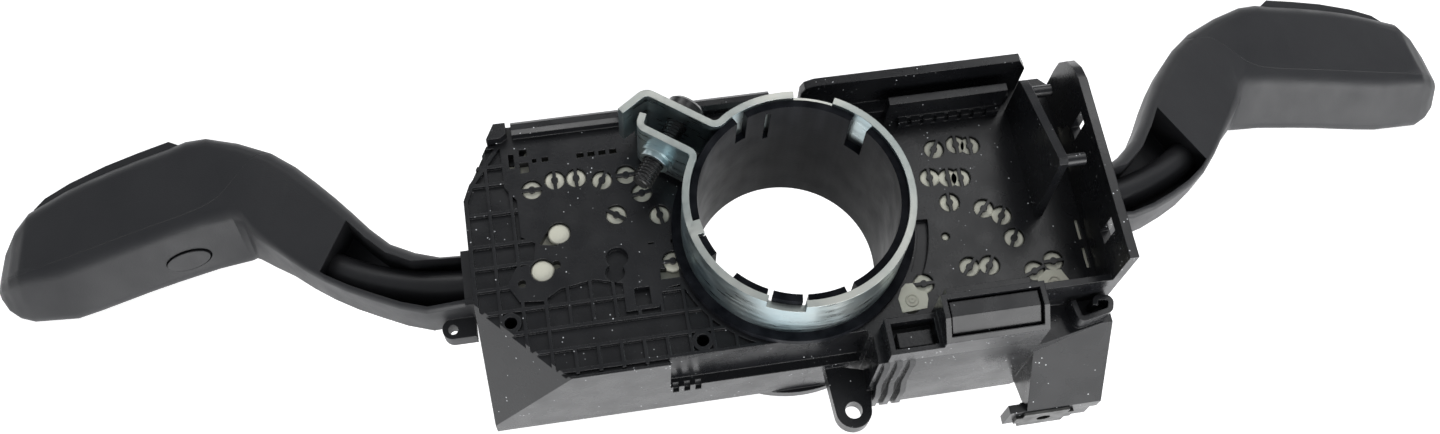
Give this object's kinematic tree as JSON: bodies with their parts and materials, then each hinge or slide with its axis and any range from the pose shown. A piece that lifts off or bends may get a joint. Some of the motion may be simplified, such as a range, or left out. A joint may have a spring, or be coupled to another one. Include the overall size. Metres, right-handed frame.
{
  "type": "combination stalk switch",
  "caption": "Steering-column combination switch: ribbed switch plate round a clamped column bore, open bay at the right, and a bent paddle stalk on each side.",
  "frame": {"origin": "on the axis of the column bore, level with the top of the ribbed switch plate", "axes": "+Z along the bore towards the steering column (clamp side), +X along the right-hand stalk, +Y towards the upper edge of the housing"},
  "size_m": [0.3974, 0.1094, 0.0901],
  "materials": {
    "housing_plastic": "fine moulded",
    "hub_plastic": "smooth moulded",
    "zinc_steel": "bright zinc",
    "black_steel": "black oxide",
    "spring_steel": "plain",
    "carrier_board": "natural",
    "rivet_plastic": "natural",
    "tinned_brass": "plain",
    "natural_plastic": "natural",
    "stalk_plastic": "fine grain",
    "shell_plastic": "fine grain",
    "conduit_rubber": "smooth"
  },
  "bodies": {
    "housing": {"left_housing": "housing_plastic", "right_housing": "housing_plastic", "right_bay_walls": "housing_plastic", "front_cover": "housing_plastic", "column_hub": "hub_plastic", "clamp_band": "zinc_steel", "clamp_nut": "zinc_steel", "circuit_board": "carrier_board", "board_rivets": "rivet_plastic", "brace_panel": "housing_plastic", "connector_header": "hub_plastic", "connector_pins": "tinned_brass", "leg_clip": "spring_steel", "cover_screws": "black_steel", "left_detent_cam": "natural_plastic", "right_detent_cam": "natural_plastic", "left_swing_pin": "spring_steel", "right_swing_pin": "spring_steel"},
    "clamp_washer": {"clamp_washer": "zinc_steel"},
    "clamp_screw": {"clamp_screw": "black_steel"},
    "left_cradle": {"left_cradle": "natural_plastic", "left_lever_pin": "spring_steel", "left_contact_brush": "tinned_brass", "left_detent_spring": "spring_steel"},
    "left_plunger": {"left_detent_plunger": "natural_plastic"},
    "left_arm": {"left_stalk_arm": "stalk_plastic", "left_paddle_shell": "shell_plastic", "left_conduit": "conduit_rubber", "left_rocker_pin": "spring_steel"},
    "left_rocker": {"left_rocker": "stalk_plastic"},
    "right_cradle": {"right_cradle": "natural_plastic", "right_lever_pin": "spring_steel", "right_contact_brush": "tinned_brass", "right_detent_spring": "spring_steel"},
    "right_plunger": {"right_detent_plunger": "natural_plastic"},
    "right_arm": {"right_stalk_arm": "stalk_plastic", "right_paddle_shell": "shell_plastic", "right_conduit": "conduit_rubber", "right_rocker_pin": "spring_steel"},
    "right_rocker": {"right_rocker": "stalk_plastic"},
    "left_button": {"left_button": "stalk_plastic"}
  },
  "joints": [
    {"name": "left_swing", "type": "hinge", "parent": "housing", "child": "left_cradle", "pos_m": [-0.047, 0.004, -0.0185], "axis": [0, 0, 1], "range_deg": [-8, 8]},
    {"name": "left_lever", "type": "hinge", "parent": "left_cradle", "child": "left_arm", "pos_m": [-0.062, 0.00375, -0.019], "axis": [0, -1, 0], "range_deg": [0, 5], "stiffness_Nm_per_rad": 10, "springref_deg": -1.15},
    {"name": "left_detent", "type": "slide", "parent": "left_cradle", "child": "left_plunger", "axis": [0, 0, 1], "range_m": [0, 0.0008], "stiffness_N_per_m": 800, "springref_m": -0.0008, "deforming": ["left_detent_spring"]},
    {"name": "left_rocker_tilt", "type": "hinge", "parent": "left_arm", "child": "left_rocker", "pos_m": [-0.167, 0.05371, -0.0465], "axis": [0, 0, 1], "range_deg": [-4, 4], "stiffness_Nm_per_rad": 0.06},
    {"name": "right_swing", "type": "hinge", "parent": "housing", "child": "right_cradle", "pos_m": [0.047, 0.004, -0.0185], "axis": [0, 0, 1], "range_deg": [-8, 8]},
    {"name": "right_lever", "type": "hinge", "parent": "right_cradle", "child": "right_arm", "pos_m": [0.062, 0.00375, -0.019], "axis": [0, 1, 0], "range_deg": [-5, 5]},
    {"name": "right_detent", "type": "slide", "parent": "right_cradle", "child": "right_plunger", "axis": [0, 0, 1], "range_m": [0, 0.0008], "stiffness_N_per_m": 800, "springref_m": -0.0008, "deforming": ["right_detent_spring"]},
    {"name": "right_rocker_tilt", "type": "hinge", "parent": "right_arm", "child": "right_rocker", "pos_m": [0.167, 0.0577, -0.0465], "axis": [0, 0, 1], "range_deg": [-4, 4], "stiffness_Nm_per_rad": 0.06},
    {"name": "left_button_press", "type": "slide", "parent": "left_arm", "child": "left_button", "axis": [0, 0.8097, -0.5868], "range_m": [0, 0.0015], "stiffness_N_per_m": 600, "springref_m": -0.0005},
    {"name": "clamp_travel", "type": "slide", "parent": "housing", "child": "clamp_washer", "axis": [0.6, 0.8, 0], "range_m": [0, 0.0016]},
    {"name": "clamp_turn", "type": "hinge", "parent": "clamp_washer", "child": "clamp_screw", "pos_m": [-0.0228, 0.025, 0.0102], "axis": [0.6, 0.8, 0], "range_deg": [0, 720]}
  ],
  "couplings": [
    {"joint": "clamp_turn", "follows": "clamp_travel", "rad_per_m": 7853.9}
  ]
}
